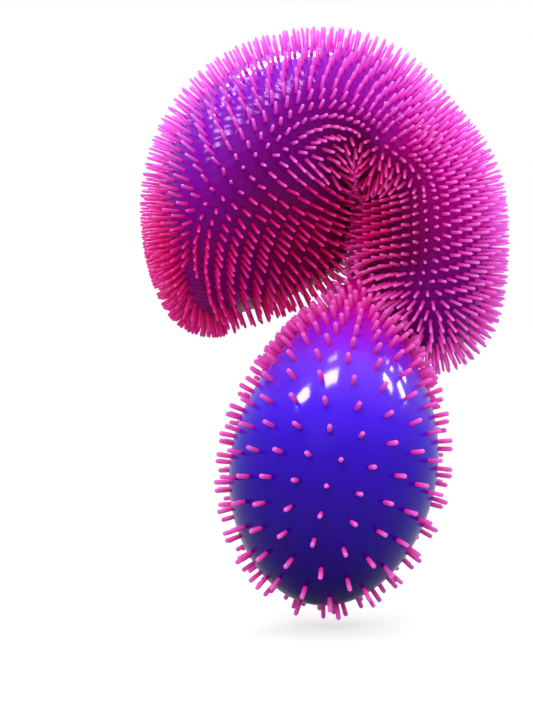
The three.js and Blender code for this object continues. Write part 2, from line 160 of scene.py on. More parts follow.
def section_ends(bearing):
    """Inner and outer end of a section, as x and z."""
    turn = np.radians(bearing)
    towards = np.stack([np.cos(turn), np.sin(turn)], -1)
    leg_slide = share_between(bearing, LEG_WALL_BEARING, LEG_END) ** LEG_WALL_EASE
    drop = CHEEK_WALL_LENGTH * smooth_step(-bearing, 0, -CHEEK_END) + LEG_WALL_LENGTH * leg_slide
    slide = np.stack([LEG_WALL_BEND * leg_slide**LEG_WALL_CURVE, drop], -1)
    fold = np.array([FOLD_X, FOLD_Z])
    return fold + FOLD_RADIUS * towards - slide, fold + reach(bearing)[..., None] * towards


def fan_ends(inset):
    """The bearings at which the skin, or a surface at an inset below it, ends."""
    inner, outer = section_ends(np.array([LEG_CAP_START, LEG_END, CHEEK_CAP_START]))
    middle = (inner + outer) / 2
    leg_step = np.linalg.norm(middle[1] - middle[0]) / LEG_CAP
    cheek_step = np.radians(np.linalg.norm(outer[2] - inner[2]) / 2)
    return LEG_END - inset / leg_step, CHEEK_END + inset / cheek_step


def round_off(share, squareness):
    """Size left at a share of the way through a rounded end."""
    return (1 - share**squareness) ** (1 / squareness)


def section_turn(bearing):
    """How far a section's deepest place is turned out towards its rim, in degrees of its angle."""
    leg = LEG_TURN * smooth_step(bearing, LEG_TURN_START, LEG_END)
    return leg + SHOULDER_TURN * swell(bearing, SHOULDER_TURN_BEARING, SHOULDER_TURN_SPREAD)


def fan_point(bearing, angle, inset=0.0):
    """A point of the folded body: angle 0 is the outer rim, 180 the fold, 90 the back."""
    bearing, angle = np.broadcast_arrays(np.asarray(bearing, float), np.asarray(angle, float))
    inner, outer = section_ends(bearing)
    length = np.linalg.norm(outer - inner, axis=-1)
    along = (outer - inner) / length[..., None]
    half_length = length / 2
    leg, cheek = fan_ends(inset)
    cheek_left = round_off(share_between(bearing, CHEEK_CAP_START, cheek), CHEEK_SQUARENESS)
    length_left = cheek_left * round_off(share_between(bearing, LEG_CAP_START, leg), LEG_SQUARENESS)
    depth_left = cheek_left * round_off(share_between(bearing, LEG_ROLL_START, leg), LEG_ROLL_SQUARENESS)
    focus = np.where(bearing < CHEEK_CAP_START, (2 * CHEEK_FOCUS - 1) * half_length, 0.0)
    side = np.sin(np.radians(angle))
    turned = np.cos(np.radians(angle - section_turn(bearing) * side))
    outward = focus + length_left * ((half_length - inset) * turned - focus)
    back = depth_left * (half_depth(bearing) - inset) * side
    flat = (inner + outer) / 2 + along * outward[..., None]
    return np.stack([flat[..., 0], back, flat[..., 1]], -1)


print("crown reaches", round(float(reach(np.array(135.0))), 1), "mm from the fold line")

# %% [markdown]
# Neck and bubble are round sections along a curved spine that starts inside the cheek. A Bezier
# curve gives the spine, and its points are spaced by true length, so that a distance along it means
# the same everywhere. The bubble's nose is half an ellipsoid, and the neck flares into it.

# %% Neck and bubble as a formula
NECK_START = np.array([-0.6, 2.0, 14.0])
NECK_HEADING = np.array([-0.7, -0.6, -0.45])
NECK_PULL = 17.0
BUBBLE_TIP = np.array([-22.5, -24.0, -60.2])
TIP_HEADING = np.array([-0.36, -0.25, -0.9])
TIP_PULL = 34.0
NECK_RADIUS, NECK_FLARE, FLARE_LENGTH = 6.5, 1.9, 37.0
BUBBLE_RADIUS, BUBBLE_NOSE = 23.4, 32.0
NEAR_NECK_END, FAR_NECK_END = 14.0, 19.0
SPINE_STEPS = 400


def unit(vectors):
    return vectors / np.linalg.norm(vectors, axis=-1, keepdims=True)


spine_share = np.linspace(0, 1, SPINE_STEPS + 1)[:, None]
spine_control = (
    NECK_START,
    NECK_START + NECK_PULL * unit(NECK_HEADING),
    BUBBLE_TIP - TIP_PULL * unit(TIP_HEADING),
    BUBBLE_TIP,
)
spine_points = sum(
    math.comb(3, i) * spine_share**i * (1 - spine_share) ** (3 - i) * point
    for i, point in enumerate(spine_control)
)
spine_steps = np.linalg.norm(np.diff(spine_points, axis=0), axis=1)
spine_distances = np.concatenate([[0], np.cumsum(spine_steps)])
spine_headings = unit(np.gradient(spine_points, axis=0))
SPINE_LENGTH = spine_distances[-1]
WIDEST = SPINE_LENGTH - BUBBLE_NOSE


def along_spine(distance, values):
    return np.stack([np.interp(distance, spine_distances, values[:, i]) for i in range(3)], -1)


def tube_radius(distance, inset=0.0):
    nose_share = np.clip((distance - WIDEST) / (BUBBLE_NOSE - inset), 0, 1)
    nose = (BUBBLE_RADIUS - inset) * np.sqrt(1 - nose_share**2)
    short = np.clip((WIDEST - distance) / FLARE_LENGTH, 0, 1)
    flare = BUBBLE_RADIUS - (BUBBLE_RADIUS - NECK_RADIUS) * short**NECK_FLARE - inset
    return np.where(distance > WIDEST, nose, flare)


def tube_point(distance, angle, inset=0.0):
    """A point of neck or bubble: distance along the spine, angle round it."""
    distance, angle = np.broadcast_arrays(np.asarray(distance, float), np.asarray(angle, float))
    heading = unit(along_spine(distance, spine_headings))
    right = unit(np.cross([0.0, 1.0, 0.0], heading))
    up = np.cross(heading, right)
    turn = np.radians(angle)
    radius = tube_radius(distance, inset)
    sideways = right * (radius * np.cos(turn))[..., None]
    upward = up * (radius * np.sin(turn))[..., None]
    return along_spine(distance, spine_points) + sideways + upward


print(f"spine {SPINE_LENGTH:.1f} mm, widest at {WIDEST:.1f} mm")

# %% [markdown]
# Each skin is a closed shell: an outer surface of rings and sides, an inner surface one wall below
# it with its faces turned round, and rims that join the two where the skin is cut at a joint. Where a
# skin rounds off, its rings run into one pole point. A Solidify modifier could add the wall, but it can
# cross itself in a tight fold. Here the formula with an inset gives the inner surface.

# %% Helpers that turn rings into closed meshes
SHARP_RIM = math.radians(50)


def ring_faces(rings, sides, first, turned):
    """Quads between rings that run round closed sections."""
    faces = []
    for ring in range(rings - 1):
        for side in range(sides):
            here = first + ring * sides
            quad = (here + side, here + (side + 1) % sides)
            quad += (quad[1] + sides, quad[0] + sides)
            faces.append(quad[::-1] if turned else quad)
    return faces


def pole_faces(ring_start, sides, pole, turned):
    fan = [(ring_start + side, ring_start + (side + 1) % sides, pole) for side in range(sides)]
    return [face[::-1] for face in fan] if turned else fan


def add_object(name, points, faces):
    mesh = bpy.data.meshes.new(name)
    mesh.from_pydata((np.asarray(points) * MM).tolist(), [], faces)
    mesh.validate()
    mesh.polygons.foreach_set("use_smooth", [True] * len(mesh.polygons))
    mesh.set_sharp_from_angle(angle=SHARP_RIM)
    piece = bpy.data.objects.new(name, mesh)
    scene.collection.objects.link(piece)
    return piece


class Surface:
    """Rings of points with a pole at either end, or an open end."""

    def __init__(self, rings, start_pole=None, end_pole=None):
        self.rings, self.start_pole, self.end_pole = rings, start_pole, end_pole

    def points_and_faces(self, first, turned=False):
        count, sides = self.rings.shape[:2]
        points = list(self.rings.reshape(-1, 3))
        faces = ring_faces(count, sides, first, turned)
        if self.start_pole is not None:
            faces += pole_faces(first, sides, first + len(points), not turned)
            points.append(self.start_pole)
        if self.end_pole is not None:
            last = first + (count - 1) * sides
            faces += pole_faces(last, sides, first + len(points), turned)
            points.append(self.end_pole)
        return points, faces


def add_shell(name, outer, inner):
    """A skin from its outer and inner surface, joined by rims at open ends."""
    points, faces = outer.points_and_faces(0)
    inner_first = len(points)
    inner_points, inner_faces = inner.points_and_faces(inner_first, turned=True)
    count, sides = outer.rings.shape[:2]
    for pole, ring, turned in ((outer.start_pole, 0, True), (outer.end_pole, count - 1, False)):
        if pole is None:
            pair = [(ring * sides + i, inner_first + ring * sides + i) for i in range(sides)]
            for i in range(sides):
                (a, b), (c, d) = pair[i], pair[(i + 1) % sides]
                faces.append((a, b, d, c) if turned else (a, c, d, b))
    return add_object(name, points + inner_points, faces + inner_faces)


def add_solid(name, outer):
    """A filling from its surface, with flat faces over its open ends."""
    points, faces = outer.points_and_faces(0)
    count, sides = outer.rings.shape[:2]
    if outer.start_pole is None:
        faces.append(tuple(range(sides))[::-1])
    if outer.end_pole is None:
        faces.append(tuple(range((count - 1) * sides, count * sides)))
    return add_object(name, points, faces)


print("helpers ready")

# %% [markdown]
# The outer skin of the folded body. Soft rubber is never a perfect formula, so a slow wobble of a
# fraction of a millimetre is added to its points. The rings crowd together towards the two rounded
# ends, where the sections shrink quickly.

# %% Folded skin and filling surfaces
SKIN_WALL = 1.8
FILLING_INSET = 2.15
SECTION_SIDES = 96
BEARING_STEP = 1.6
CAP_RINGS = 18
WOBBLE = 0.3
WOBBLE_LENGTHS = (8.0, 7.0, 9.0)
WOBBLE_PHASES = (1.3, 2.0, 0.4)
NORMAL_STEP = 0.25
SHORTEST_ARM = 1.0


def wobble(points):
    waves = [np.sin(points[..., i] / WOBBLE_LENGTHS[i] + WOBBLE_PHASES[i]) for i in range(3)]
    return WOBBLE * waves[0] * waves[1] * waves[2]


def surface_normal(surface, u, v):
    """Outward normal of a formula surface, from small steps along both directions."""
    along_u = surface(u + NORMAL_STEP, v) - surface(u - NORMAL_STEP, v)
    along_v = surface(u, v + NORMAL_STEP) - surface(u, v - NORMAL_STEP)
    return unit(np.cross(along_v, along_u))


def soft_fan_point(bearing, angle, inset=0.0):
    """A point of the folded body with the wobble, which fades out towards a section's middle."""
    points = fan_point(bearing, angle, inset)
    centre = fan_point(bearing, 0.0, inset) / 2 + fan_point(bearing, 180.0, inset) / 2
    away = points - centre
    length = np.maximum(np.linalg.norm(away, axis=-1, keepdims=True), SHORTEST_ARM)
    return points + away / length * wobble(points)[..., None]


def cap_steps(start, end, squareness):
    shares = np.sin(np.pi / 2 * np.arange(1, CAP_RINGS) / CAP_RINGS) ** (2 / squareness)
    return start + (end - start) * shares


def fan_surface(inset):
    leg, cheek = fan_ends(inset)
    middle = np.arange(CHEEK_CAP_START, LEG_CAP_START, BEARING_STEP)
    bearings = np.concatenate([
        cap_steps(CHEEK_CAP_START, cheek, CHEEK_SQUARENESS)[::-1],
        middle,
        cap_steps(LEG_CAP_START, leg, LEG_SQUARENESS),
    ])
    angles = np.arange(SECTION_SIDES) * 360 / SECTION_SIDES
    rings = soft_fan_point(bearings[:, None], angles[None, :], inset)
    poles = [fan_point(bearing, 0.0, inset) for bearing in (cheek, leg)]
    return Surface(rings, *poles), bearings


fold_outer, fold_bearings = fan_surface(0.0)
folded_skin = add_shell("folded_skin", fold_outer, fan_surface(SKIN_WALL)[0])
folded_filling = add_solid("folded_filling", fan_surface(FILLING_INSET)[0])
print("folded skin:", len(folded_skin.data.polygons), "faces")

# %% [markdown]
# Neck and bubble skins follow the spine. They are cut where the joints are: a near neck, a far neck
# and the bubble, each a shell of its own, with the same ring of points on both sides of a cut.

# %% Neck and bubble skins and fillings
BUBBLE_WALL = 1.0
TUBE_SIDES = 96
TUBE_STEP = 0.8
NOSE_RINGS = 40


def tube_rings(distances, inset):
    angles = np.arange(TUBE_SIDES) * 360 / TUBE_SIDES
    return tube_point(distances[:, None], angles[None, :], inset)


def tube_stretch(start, end, inset):
    steps = max(2, round((end - start) / TUBE_STEP))
    return Surface(tube_rings(np.linspace(start, end, steps + 1), inset))


def tube_nose(start, inset):
    tip = SPINE_LENGTH - inset
    steps = round((WIDEST - start) / TUBE_STEP)
    flare = np.linspace(start, WIDEST, steps + 1)
    shares = np.sin(np.pi / 2 * np.arange(1, NOSE_RINGS) / NOSE_RINGS)
    distances = np.concatenate([flare, WIDEST + (tip - WIDEST) * shares])
    return Surface(tube_rings(distances, inset), end_pole=tube_point(tip, 0.0, inset))


NECK_STRETCHES = {"near_neck": (0.0, NEAR_NECK_END), "far_neck": (NEAR_NECK_END, FAR_NECK_END)}
skins, fillings = {}, {}
for stretch, (start, end) in NECK_STRETCHES.items():
    skins[stretch] = add_shell(
        f"{stretch}_skin_soft", tube_stretch(start, end, 0.0), tube_stretch(start, end, SKIN_WALL)
    )
    fillings[stretch] = add_solid(f"{stretch}_gel", tube_stretch(start, end, FILLING_INSET))
skins["bubble"] = add_shell(
    "bubble_skin_soft", tube_nose(FAR_NECK_END, 0.0), tube_nose(FAR_NECK_END, BUBBLE_WALL)
)
bubble_inset = BUBBLE_WALL + FILLING_INSET - SKIN_WALL
fillings["bubble"] = add_solid("bubble_gel", tube_nose(FAR_NECK_END, bubble_inset))
print("tube skins:", ", ".join(skins))

# %% [markdown]
# Where the skin is stretched, the pink rubber gets thin and the blue gel shows through, so the colour
# runs from magenta at the neck through violet to deep blue at the bubble's tip. The colours also hold
# painted light: a lighter band high on the bubble is a painted reflection, and the darkening towards
# the bubble's tip is partly painted shade. The folded skin is violet where it is taut and crimson where
# it bunches up; the dark crimson along the fold line is painted shade, and the dark crimson low on the
# leg is partly painted shade. That could be painted on. Here each point takes a mix of colours, by how
# near it lies to their places, as a colour attribute. A tube colour has its distance along the spine,
# and a fold colour its bearing and its distance from the fold line.

# %% Skin colours and painted light
# Colour at each distance along the spine. The lighter band near 34 mm is a painted reflection, and from
# about 44 mm the darkening towards the tip is partly the gel's deep blue and partly painted shade.
TUBE_COLOURS_AND_PAINTED_LIGHT = {
    10.0: (190, 0, 130),
    16.0: (240, 8, 186),
    19.0: (206, 16, 214),
    26.0: (158, 34, 246),
    34.0: (118, 60, 255),
    44.0: (72, 24, 238),
    52.0: (50, 8, 200),
    62.0: (38, 0, 162),
    74.0: (30, 0, 128),
    88.0: (26, 0, 104),
}
# Bearing, distance from the fold line and colour. The colours darken towards the fold line, and the
# darkest of them are painted shade in the crease.
FOLD_COLOURS_AND_PAINTED_SHADE = (
    (140.0, 40.0, (150, 22, 232)),
    (170.0, 42.0, (122, 0, 178)),
    (150.0, 20.0, (116, 0, 130)),
    (180.0, 32.0, (112, 0, 132)),
    # Dark crimson low on the leg: crimson of the bunched skin, and partly painted shade.
    (208.0, 24.0, (112, 0, 58)),
    (210.0, 44.0, (140, 0, 84)),
    (75.0, 30.0, (158, 8, 178)),
    (10.0, 22.0, (186, 0, 152)),
    (-50.0, 36.0, (112, 0, 124)),
    # Painted shade: dark crimson along the fold line, in the crease.
    (130.0, 3.0, (92, 0, 58)),
    (0.0, 3.0, (92, 0, 58)),
    (-60.0, 10.0, (92, 0, 58)),
)
COLOUR_TURN, COLOUR_DISTANCE = 34.0, 10.0
LEAST_WEIGHT = 1e-6
SPINE_STRIDE = 2


def linear(red, green, blue):
    """A screen colour, 0 to 255, as the linear colour that shaders use, by the sRGB formula."""
    share = np.array([red, green, blue]) / 255
    return tuple(np.where(share <= 0.04045, share / 12.92, ((share + 0.055) / 1.055) ** 2.4)) + (1.0,)


def fold_place(points):
    """Bearing round the fold line, from -90 to 270, and distance from it."""
    x, z = points[:, 0] - FOLD_X, points[:, 2] - FOLD_Z
    return (np.degrees(np.arctan2(z, x)) + 90) % 360 - 90, np.hypot(x, z)


def fold_colour_and_painted_shade(points):
    bearing, distance = fold_place(points)
    mixed, total = 0.0, 0.0
    for place_bearing, place_distance, colour in FOLD_COLOURS_AND_PAINTED_SHADE:
        beside = swell(bearing, place_bearing, COLOUR_TURN)
        away = swell(distance, place_distance, COLOUR_DISTANCE)
        weight = (beside * away)[:, None] + LEAST_WEIGHT
        mixed = mixed + weight * np.array(linear(*colour))
        total = total + weight
    return mixed / total


def tube_colour_and_painted_light(points):
    near = spine_points[::SPINE_STRIDE]
    gaps = np.linalg.norm(points[:, None, :] - near[None, :, :], axis=2)
    distance = spine_distances[::SPINE_STRIDE][np.argmin(gaps, axis=1)]
    stops = np.array([linear(*colour) for colour in TUBE_COLOURS_AND_PAINTED_LIGHT.values()])
    channels = [np.interp(distance, list(TUBE_COLOURS_AND_PAINTED_LIGHT), stops[:, i]) for i in range(stops.shape[1])]
    return np.stack(channels, -1)


def mesh_points(piece):
    flat = np.empty(len(piece.data.vertices) * 3)
    piece.data.vertices.foreach_get("co", flat)
    return flat.reshape(-1, 3) / MM


def store(piece, name, kind, field, values):
    attribute = piece.data.attributes.new(name, kind, "POINT")
    attribute.data.foreach_set(field, np.asarray(values, np.float32).ravel())


store(folded_skin, "skin_colour_and_painted_light", "FLOAT_COLOR", "color", fold_colour_and_painted_shade(mesh_points(folded_skin)))
for piece in skins.values():
    store(piece, "skin_colour_and_painted_light", "FLOAT_COLOR", "color", tube_colour_and_painted_light(mesh_points(piece)))
print("colours stored on", 1 + len(skins), "skins")

# %% [markdown]
# The moulding has its spikes in staggered rows. On the folded body a row keeps one section angle,
# and its spikes sit at even steps of bearing, closer together towards the leg, where the skin is
# bunched up. Places that would be crowded at the fold or at a pole are thinned out. A spike that
# would poke into another surface is shortened to the room it has.

# %% Spike roots on the folded body
SPIKE_ROWS = 50
COLUMN_STEP = 6.2
LEG_EXTRA_COLUMNS, CHEEK_EXTRA_COLUMNS, CHEEK_CROWDING_START = 21.0, 5.0, 20.0
BEARING_FINENESS = 0.05
LEAST_SPACING = 1.5
FOLD_BARE = 8.0
SPIKE_LENGTH = 4.7
LEAST_LENGTH = 0.9
PLUG_BEARING, PLUG_CLEARANCE = 175.0, 8.2
END_MARGIN = 0.7
RAY_LIFT = 0.4

fine_bearings = np.arange(CHEEK_END, LEG_END, BEARING_FINENESS)
plug_place = fan_point(PLUG_BEARING, 90.0)


def columns_to(bearing):
    """A bearing as a number of columns, which crowd where the leg rolls under and down the cheek."""
    roll = round_off(share_between(bearing, LEG_ROLL_START, LEG_END), LEG_ROLL_SQUARENESS)
    cheek = share_between(bearing, CHEEK_CROWDING_START, CHEEK_END) ** 2
    even = (bearing - CHEEK_CROWDING_START) / COLUMN_STEP
    return even + LEG_EXTRA_COLUMNS * (1 - roll) - CHEEK_EXTRA_COLUMNS * cheek


fine_columns = columns_to(fine_bearings)


def tree_of(piece_surface):
    points, faces = piece_surface.points_and_faces(0)
    return BVHTree.FromPolygons([Vector(point) for point in points], faces)


tube_outer = tube_nose(0.0, 0.0)
tube_outer.start_pole = NECK_START
fold_tree = tree_of(fold_outer)
tube_tree = tree_of(tube_outer)


def inside(tree, point):
    place, normal, _, _ = tree.find_nearest(Vector(point))
    return (Vector(point) - place).dot(normal) < 0


def room_above(root, normal):
    """Free length over a root, up to a spike's length."""
    start = Vector(root) + Vector(normal) * RAY_LIFT
    room = SPIKE_LENGTH
    for tree in (fold_tree, tube_tree):
        hit = tree.ray_cast(start, Vector(normal), SPIKE_LENGTH)
        if hit[0] is not None:
            room = min(room, hit[3])
    return max(room, LEAST_LENGTH)


def fan_roots():
    """Roots, aims and lengths. Where rows crowd, two rows out of four are left out."""
    roots, aims, lengths = [], [], []
    two_rows_on = 2 * 360 / SPIKE_ROWS
    for row in range(SPIKE_ROWS):
        angle = 360 * row / SPIKE_ROWS
        if abs(angle - 180) < FOLD_BARE:
            continue
        column = np.arange(math.ceil(fine_columns[0]), fine_columns[-1]) + 0.5 * (row % 2)
        bearings = np.interp(column, fine_columns, fine_bearings)
        bearings = bearings[(bearings > CHEEK_END + END_MARGIN) & (bearings < LEG_END - END_MARGIN)]
        kept = None
        for bearing in bearings:
            root = soft_fan_point(bearing, angle)
            beside = soft_fan_point(bearing, angle + two_rows_on)
            crowded = np.linalg.norm(beside - root) < 2 * LEAST_SPACING
            if crowded and row % 4 in (2, 3):
                continue
            if kept is not None and np.linalg.norm(root - kept) < LEAST_SPACING:
                continue
            if np.linalg.norm(root - plug_place) < PLUG_CLEARANCE or inside(tube_tree, root):
                continue
            kept = root
            normal = surface_normal(fan_point, bearing, angle)
            roots.append(root)
            aims.append(normal)
            lengths.append(room_above(root, normal) / SPIKE_LENGTH)
    return roots, aims, lengths


fold_roots = fan_roots()
print(len(fold_roots[0]), "spikes on the folded body")

# %% [markdown]
# The neck keeps its spikes close together, and the stretched bubble carries the same spikes far
# apart. So the pitch grows along the spine, ring by ring, and every other ring is turned half a pitch.
# The bubble is taken to be stretched most at the front, and a second round with a smaller pitch fills
# its back. Spikes on stretched skin are shorter and stouter than those on the folded body.

# %% Spike roots on neck and bubble
NECK_PITCH, BUBBLE_PITCH = 2.6, 6.7
PITCH_START, PITCH_FULL = 18.0, 37.0
RING_PITCH_SHARE = 0.87
TIP_MARGIN = 0.3
STRETCHED_SPIKE_SHARE = 0.74
BACK_GAP_SHARE = 0.8
# Each round's share of the pitch, and the least that its normals point to the back.
SPIKE_ROUNDS = ((1.0, -1.0), (0.5, 0.0))


def pitch_at(distance):
    return NECK_PITCH + (BUBBLE_PITCH - NECK_PITCH) * smooth_step(distance, PITCH_START, PITCH_FULL)


def ring_places(pitch_share):
    """Distance, angle and pitch of places in rings along the whole tube."""
    distance, ring = NECK_PITCH, 0
    while distance < SPINE_LENGTH - TIP_MARGIN:
        pitch = pitch_share * pitch_at(distance)
        count = max(1, round(2 * math.pi * float(tube_radius(np.array(distance))) / pitch))
        for i in range(count):
            yield distance, 360 * (i + (ring % 2) / 2) / count, pitch
        beside = np.array([distance - TIP_MARGIN, distance + TIP_MARGIN])
        slope = float(np.diff(tube_radius(beside))[0]) / (2 * TIP_MARGIN)
        distance += RING_PITCH_SHARE * pitch / math.hypot(1, slope)
        ring += 1


def stretch_at(distance):
    if distance < NEAR_NECK_END:
        return "near_neck"
    return "far_neck" if distance < FAR_NECK_END else "bubble"


def tube_roots():
    """Roots on each stretch of the tube, outside the folded body."""
    found = {stretch: ([], [], []) for stretch in skins}
    taken = []
    for pitch_share, least_back in SPIKE_ROUNDS:
        first_round = np.array(taken)
        for distance, angle, pitch in ring_places(pitch_share):
            root = tube_point(distance, angle)
            normal = surface_normal(tube_point, distance, angle)
            if normal[1] < least_back or inside(fold_tree, root):
                continue
            if len(first_round):
                if distance < FAR_NECK_END:
                    continue
                if np.linalg.norm(first_round - root, axis=1).min() < BACK_GAP_SHARE * pitch:
                    continue
            taken.append(root)
            room = STRETCHED_SPIKE_SHARE * room_above(root, normal) / SPIKE_LENGTH
            for values, value in zip(found[stretch_at(distance)], (root, normal, room)):
                values.append(value)
    return found


neck_roots = tube_roots()
print({stretch: len(values[0]) for stretch, values in neck_roots.items()}, "spikes")

# %% [markdown]
# One spike is a thin rod with a round tip, and on the folded body its root is flared. Nearly three
# thousand are one shape repeated. Copies could be placed one by one, but Geometry Nodes make them all:
# a short curve gets a radius along its length, becomes a mesh, and is set on every root along its aim,
# with a little lean. Each point keeps how far along the spike it lies, for the colour.

# %% Spike tree
SPIKE_ROOT_RADIUS, SPIKE_TIP_RADIUS, SPIKE_SINK = 0.48, 0.36, 0.35
STOUT_TIP_RADIUS = 0.55
SPIKE_SIDES, SPIKE_RINGS = 6, 6
SPIKE_LEAN, SPIKE_SEED = 0.07, 4
RING_CROWDING, ROOT_FLARE, TIP_SHARE, TIP_CLOSING = 1.7, 9.0, 0.89, 0.975
# Mix and Random Value nodes repeat the names of their sockets, so these are taken by place.
MIX_FACTOR, MIX_FIRST, MIX_SECOND, MIX_RESULT = 0, 6, 7, 2
RANDOM_LEAST, RANDOM_MOST = 0, 1

SPIKE_INPUTS = (
    ("Length", "NodeSocketFloat", SPIKE_LENGTH * MM),
    ("Sink", "NodeSocketFloat", SPIKE_SINK * MM),
    ("Root radius", "NodeSocketFloat", SPIKE_ROOT_RADIUS * MM),
    ("Tip radius", "NodeSocketFloat", SPIKE_TIP_RADIUS * MM),
    ("Sides", "NodeSocketInt", SPIKE_SIDES),
    ("Rings", "NodeSocketInt", SPIKE_RINGS),
    ("Lean", "NodeSocketFloat", SPIKE_LEAN),
    ("Seed", "NodeSocketInt", SPIKE_SEED),
)


class Nodes:
    """Adds nodes to a tree and links their sockets."""

    def __init__(self, tree):
        self.tree = tree

    def add(self, kind, inputs=(), **settings):
        node = self.tree.nodes.new(kind)
        for name, value in settings.items():
            setattr(node, name, value)
        for key, value in dict(inputs).items():
            if isinstance(value, bpy.types.NodeSocket):
                self.tree.links.new(value, node.inputs[key])
            else:
                node.inputs[key].default_value = value
        return node

    def result(self, kind, inputs=(), **settings):
        """The first output of a new node."""
        return self.add(kind, inputs, **settings).outputs[0]

    def math(self, operation, first, second=0.0, clamp=False):
        inputs = {0: first, 1: second}
        return self.result("ShaderNodeMath", inputs, operation=operation, use_clamp=clamp)

    def mix(self, factor, first, second):
        """A mix of two colours."""
        inputs = {MIX_FACTOR: factor, MIX_FIRST: first, MIX_SECOND: second}
        return self.add("ShaderNodeMix", inputs, data_type="RGBA").outputs[MIX_RESULT]

    def attribute(self, name, kind="FLOAT"):
        """A value that the points of a geometry carry."""
        return self.result("GeometryNodeInputNamedAttribute", {"Name": name}, data_type=kind)


def spike_body(nodes, given):
    """One spike along Z: a curve with a radius along its length, made a mesh."""
    rod = nodes.result("GeometryNodeCurvePrimitiveLine", {"End": (0, 0, 1)})
    rod = nodes.result("GeometryNodeResampleCurve", {"Curve": rod, "Count": given["Rings"]})
    share = nodes.add("GeometryNodeSplineParameter").outputs["Factor"]
    rest = nodes.math("POWER", nodes.math("SUBTRACT", 1.0, share), RING_CROWDING)
    along = nodes.math("SUBTRACT", 1.0, rest)
    height = nodes.math("MULTIPLY", along, nodes.math("ADD", given["Length"], given["Sink"]))
    height = nodes.math("SUBTRACT", height, given["Sink"])
    place = nodes.result("ShaderNodeCombineXYZ", {"Z": height})
    flare = nodes.math("POWER", nodes.math("SUBTRACT", 1.0, along), ROOT_FLARE)
    extra = nodes.math("SUBTRACT", given["Root radius"], given["Tip radius"])
    radius = nodes.math("ADD", given["Tip radius"], nodes.math("MULTIPLY", flare, extra))
    past = nodes.math("DIVIDE", nodes.math("SUBTRACT", along, TIP_SHARE), 1 - TIP_SHARE, clamp=True)
    past = nodes.math("POWER", nodes.math("MULTIPLY", past, TIP_CLOSING), 2.0)
    radius = nodes.math("MULTIPLY", radius, nodes.math("SQRT", nodes.math("SUBTRACT", 1.0, past)))
    for name, value in (("along", along), ("thickness", radius)):
        inputs = {"Geometry": rod, "Name": name, "Value": value}
        rod = nodes.result("GeometryNodeStoreNamedAttribute", inputs, data_type="FLOAT", domain="POINT")
    rod = nodes.result("GeometryNodeSetPosition", {"Geometry": rod, "Position": place})
    loop = nodes.result("GeometryNodeCurvePrimitiveCircle", {"Resolution": given["Sides"], "Radius": 1.0})
    thickness = nodes.attribute("thickness")
    inputs = {"Curve": rod, "Profile Curve": loop, "Scale": thickness, "Fill Caps": True}
    return nodes.result("GeometryNodeCurveToMesh", inputs)


def spike_turn(nodes, given):
    """The turn that points a spike along its root's aim, with a little lean."""
    limits = {RANDOM_LEAST: (-1, -1, -1), RANDOM_MOST: (1, 1, 1), "Seed": given["Seed"]}
    spread = nodes.result("FunctionNodeRandomValue", limits, data_type="FLOAT_VECTOR")
    scaled = {0: spread, "Scale": given["Lean"]}
    lean = nodes.result("ShaderNodeVectorMath", scaled, operation="SCALE")
    both = {0: nodes.attribute("aim", "FLOAT_VECTOR"), 1: lean}
    leaning = nodes.result("ShaderNodeVectorMath", both, operation="ADD")
    return nodes.result("FunctionNodeAlignRotationToVector", {"Vector": leaning}, axis="Z")


def make_spike_tree():
    tree = bpy.data.node_groups.new("rubber spikes", "GeometryNodeTree")
    tree.interface.new_socket("Roots", in_out="INPUT", socket_type="NodeSocketGeometry")
    for name, kind, value in SPIKE_INPUTS:
        tree.interface.new_socket(name, in_out="INPUT", socket_type=kind).default_value = value
    tree.interface.new_socket("Rubber", in_out="INPUT", socket_type="NodeSocketMaterial")
    tree.interface.new_socket("Spikes", in_out="OUTPUT", socket_type="NodeSocketGeometry")
    nodes = Nodes(tree)
    given = nodes.add("NodeGroupInput").outputs
    body = spike_body(nodes, given)
    turn = spike_turn(nodes, given)
    size = nodes.result("ShaderNodeCombineXYZ", {"X": 1.0, "Y": 1.0, "Z": nodes.attribute("room")})
    inputs = {"Points": given["Roots"], "Instance": body, "Rotation": turn, "Scale": size}
    placed = nodes.result("GeometryNodeInstanceOnPoints", inputs)
    joined = nodes.result("GeometryNodeRealizeInstances", {"Geometry": placed})
    smooth = nodes.result("GeometryNodeSetShadeSmooth", {"Geometry": joined})
    painted = nodes.result("GeometryNodeSetMaterial", {"Geometry": smooth, "Material": given["Rubber"]})
    nodes.add("NodeGroupOutput", {"Spikes": painted})
    return tree


spike_tree = make_spike_tree()
print("spike tree has", len(spike_tree.nodes), "nodes")

# %% [markdown]
# Soft rubber is never one flat colour. A node group adds a faint mottle to the colour, varies the
# gloss, and gives a fine grain for a bump. Skin, spikes, gel, plug and glue all use it with their own
# values.

# %% Rubber mottle group
MOTTLE_NUMBERS = {"INPUT": ("Roughness", "Patch size", "Depth"), "OUTPUT": ("Roughness", "Grain")}
PATCH_DETAIL, GRAIN_DETAIL = 3.0, 2.0
GRAINS_PER_PATCH = 14.0
MIDDLE_GREY = 0.5


